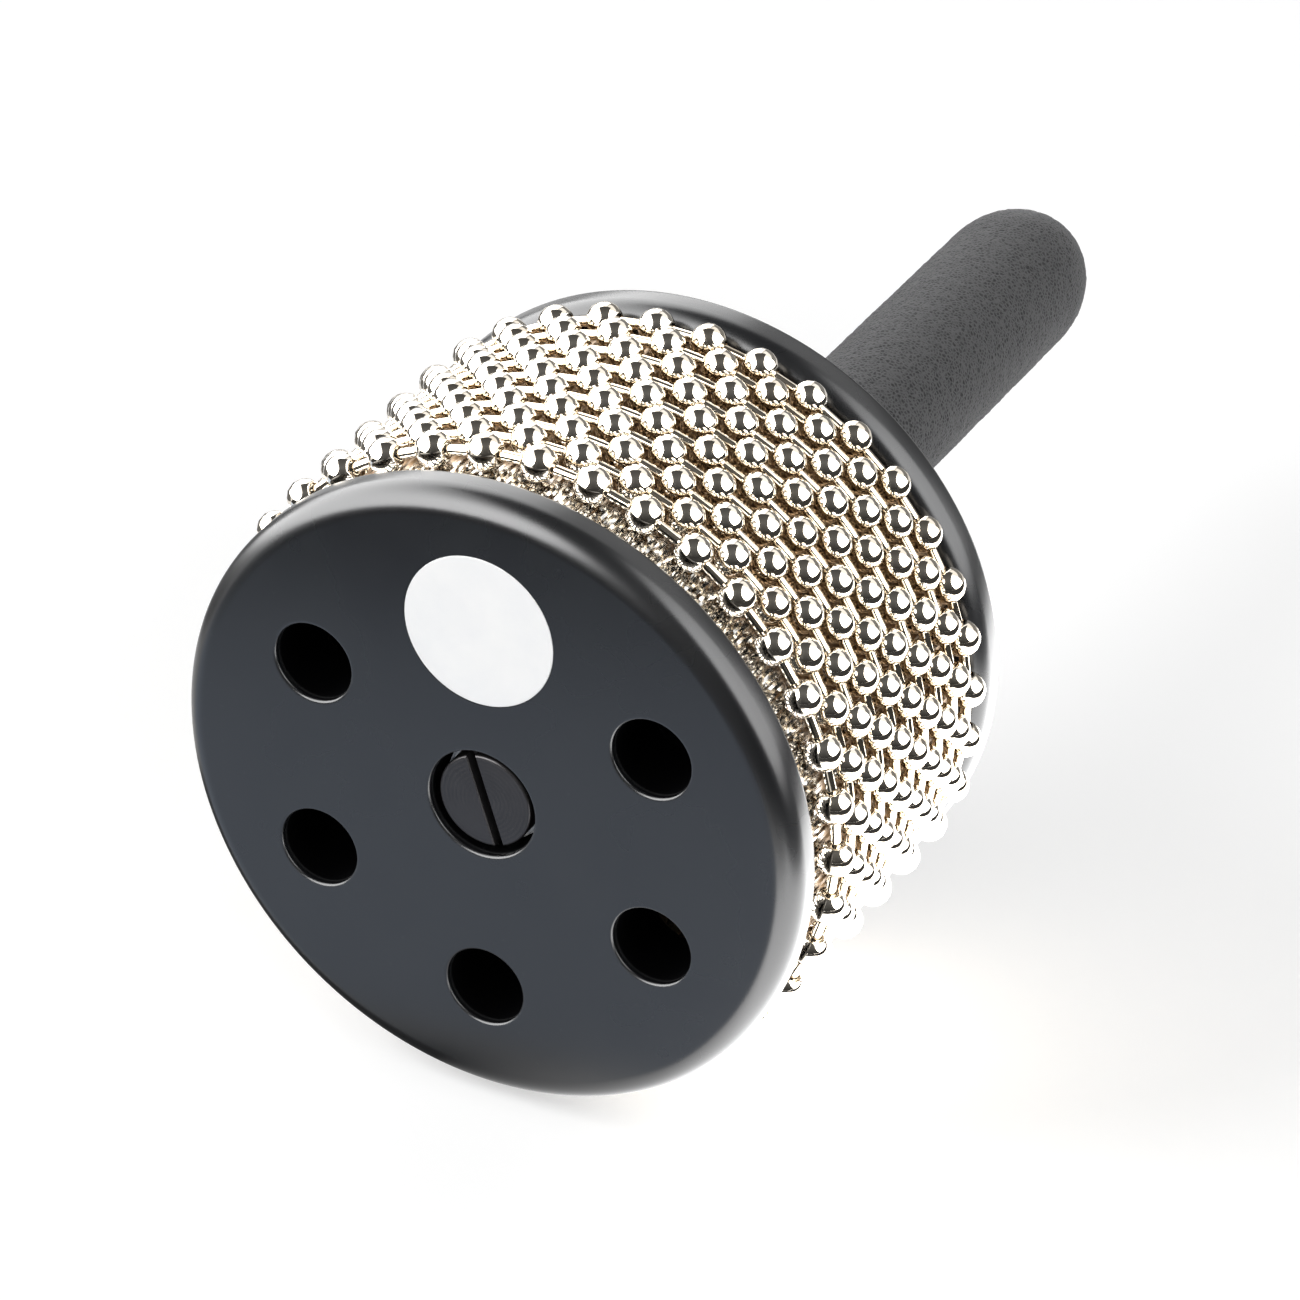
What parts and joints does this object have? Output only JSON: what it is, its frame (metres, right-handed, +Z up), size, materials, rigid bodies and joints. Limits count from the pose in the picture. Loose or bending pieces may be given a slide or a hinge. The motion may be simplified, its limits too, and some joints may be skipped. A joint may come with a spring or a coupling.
{
  "type": "cabasa",
  "caption": "Handheld cabasa: hollow drum between two round black end plates, wrapped in loops of metal ball chain that turn and scrape on a fluted sleeve, on a straight foam handle.",
  "frame": {"origin": "on the surface that the cabasa lies on, under the middle of its whole length", "axes": "+X along the drum's axis from the front plate to the tip of the handle, +Z up with the label straight above the bolt, +Y completes the right-handed set"},
  "size_m": [0.2198, 0.1188, 0.1188],
  "materials": {
    "plate": "satin",
    "label": "satin",
    "sleeve": "polished",
    "bolt": "satin",
    "washer": "satin",
    "core": "matte",
    "insert": "satin",
    "foam": "matte",
    "bead": "polished",
    "link": "polished"
  },
  "bodies": {
    "drum": {"front_plate": "plate", "label_disc": "label", "rear_plate": "plate", "fluted_sleeve": "sleeve", "clamp_bolt": "bolt", "bolt_washer": "washer", "handle_washer": "washer", "handle_core": "core", "threaded_insert": "insert", "foam_grip": "foam"},
    "loop_01": {"chain_beads_01": "bead", "chain_links_01": "link"},
    "loop_02": {"chain_beads_02": "bead", "chain_links_02": "link"},
    "loop_03": {"chain_beads_03": "bead", "chain_links_03": "link"},
    "loop_04": {"chain_beads_04": "bead", "chain_links_04": "link"},
    "loop_05": {"chain_beads_05": "bead", "chain_links_05": "link"},
    "loop_06": {"chain_beads_06": "bead", "chain_links_06": "link"},
    "loop_07": {"chain_beads_07": "bead", "chain_links_07": "link"},
    "loop_08": {"chain_beads_08": "bead", "chain_links_08": "link"},
    "loop_09": {"chain_beads_09": "bead", "chain_links_09": "link"},
    "loop_10": {"chain_beads_10": "bead", "chain_links_10": "link"}
  },
  "joints": [
    {"name": "loop_01_turn", "type": "hinge", "parent": "drum", "child": "loop_01", "pos_m": [-0.07141, 0, 0.05942], "axis": [1, 0, 0], "continuous": true},
    {"name": "loop_02_turn", "type": "hinge", "parent": "drum", "child": "loop_02", "pos_m": [-0.07141, 0, 0.05942], "axis": [1, 0, 0], "continuous": true},
    {"name": "loop_03_turn", "type": "hinge", "parent": "drum", "child": "loop_03", "pos_m": [-0.07141, 0, 0.05942], "axis": [1, 0, 0], "continuous": true},
    {"name": "loop_04_turn", "type": "hinge", "parent": "drum", "child": "loop_04", "pos_m": [-0.07141, 0, 0.05942], "axis": [1, 0, 0], "continuous": true},
    {"name": "loop_05_turn", "type": "hinge", "parent": "drum", "child": "loop_05", "pos_m": [-0.07141, 0, 0.05942], "axis": [1, 0, 0], "continuous": true},
    {"name": "loop_06_turn", "type": "hinge", "parent": "drum", "child": "loop_06", "pos_m": [-0.07141, 0, 0.05942], "axis": [1, 0, 0], "continuous": true},
    {"name": "loop_07_turn", "type": "hinge", "parent": "drum", "child": "loop_07", "pos_m": [-0.07141, 0, 0.05942], "axis": [1, 0, 0], "continuous": true},
    {"name": "loop_08_turn", "type": "hinge", "parent": "drum", "child": "loop_08", "pos_m": [-0.07141, 0, 0.05942], "axis": [1, 0, 0], "continuous": true},
    {"name": "loop_09_turn", "type": "hinge", "parent": "drum", "child": "loop_09", "pos_m": [-0.07141, 0, 0.05942], "axis": [1, 0, 0], "continuous": true},
    {"name": "loop_10_turn", "type": "hinge", "parent": "drum", "child": "loop_10", "pos_m": [-0.07141, 0, 0.05942], "axis": [1, 0, 0], "continuous": true}
  ],
  "couplings": [
    {"joint": "loop_02_turn", "follows": "loop_01_turn", "ratio": 1},
    {"joint": "loop_03_turn", "follows": "loop_01_turn", "ratio": 1},
    {"joint": "loop_04_turn", "follows": "loop_01_turn", "ratio": 1},
    {"joint": "loop_05_turn", "follows": "loop_01_turn", "ratio": 1},
    {"joint": "loop_06_turn", "follows": "loop_01_turn", "ratio": 1},
    {"joint": "loop_07_turn", "follows": "loop_01_turn", "ratio": 1},
    {"joint": "loop_08_turn", "follows": "loop_01_turn", "ratio": 1},
    {"joint": "loop_09_turn", "follows": "loop_01_turn", "ratio": 1},
    {"joint": "loop_10_turn", "follows": "loop_01_turn", "ratio": 1}
  ]
}
